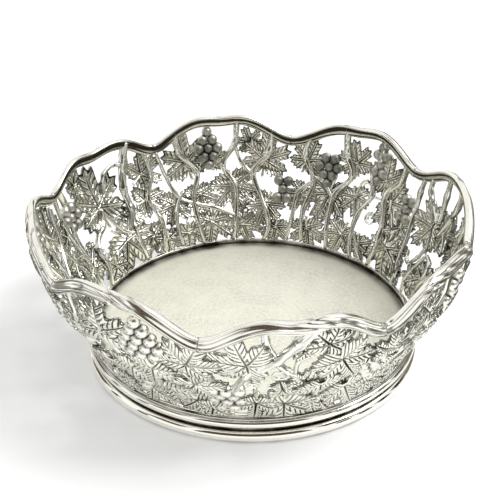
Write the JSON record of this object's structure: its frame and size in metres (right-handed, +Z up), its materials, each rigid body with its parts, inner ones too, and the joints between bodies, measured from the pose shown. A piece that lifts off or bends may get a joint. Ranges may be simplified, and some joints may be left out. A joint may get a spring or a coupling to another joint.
{
  "type": "wine bottle coaster",
  "caption": "Round silver-plated bottle coaster with a stepped foot, flat floor and flared pierced gallery of vine leaves and grapes under a wavy reeded rim.",
  "frame": {"origin": "centre of the foot's resting face, on the table", "axes": "+Z up out of the coaster's mouth, front of the pictured side towards -Y, +X to its right"},
  "size_m": [0.1667, 0.1666, 0.065],
  "materials": {
    "moulding_silver": "polished silver plate, mirror bright",
    "floor_silver": "silver plate with very fine engine-turned lines",
    "vine_silver": "polished cast silver plate",
    "leaf_silver": "chased and polished silver plate, darker in the veins",
    "grape_silver": "polished silver plate",
    "baize": "dark green baize"
  },
  "bodies": {
    "root": {"foot_ring": "moulding_silver", "floor_plate": "floor_silver", "base_pad": "baize", "gallery_sill": "moulding_silver", "rim_branch_1": "moulding_silver", "rim_branch_2": "moulding_silver", "rim_branch_3": "moulding_silver", "rim_branch_4": "moulding_silver", "rim_branch_5": "moulding_silver", "rim_branch_6": "moulding_silver", "rim_branch_7": "moulding_silver", "rim_branch_8": "moulding_silver", "vine_stems_1": "vine_silver", "vine_stems_2": "vine_silver", "vine_stems_3": "vine_silver", "vine_stems_4": "vine_silver", "vine_stems_5": "vine_silver", "vine_stems_6": "vine_silver", "vine_stems_7": "vine_silver", "vine_stems_8": "vine_silver", "vine_leaves_1": "leaf_silver", "vine_leaves_2": "leaf_silver", "vine_leaves_3": "leaf_silver", "vine_leaves_4": "leaf_silver", "vine_leaves_5": "leaf_silver", "vine_leaves_6": "leaf_silver", "vine_leaves_7": "leaf_silver", "vine_leaves_8": "leaf_silver", "grapes_1": "grape_silver", "grapes_2": "grape_silver", "grapes_3": "grape_silver", "grapes_4": "grape_silver", "grapes_5": "grape_silver", "grapes_6": "grape_silver", "grapes_7": "grape_silver", "grapes_8": "grape_silver"}
  },
  "joints": []
}
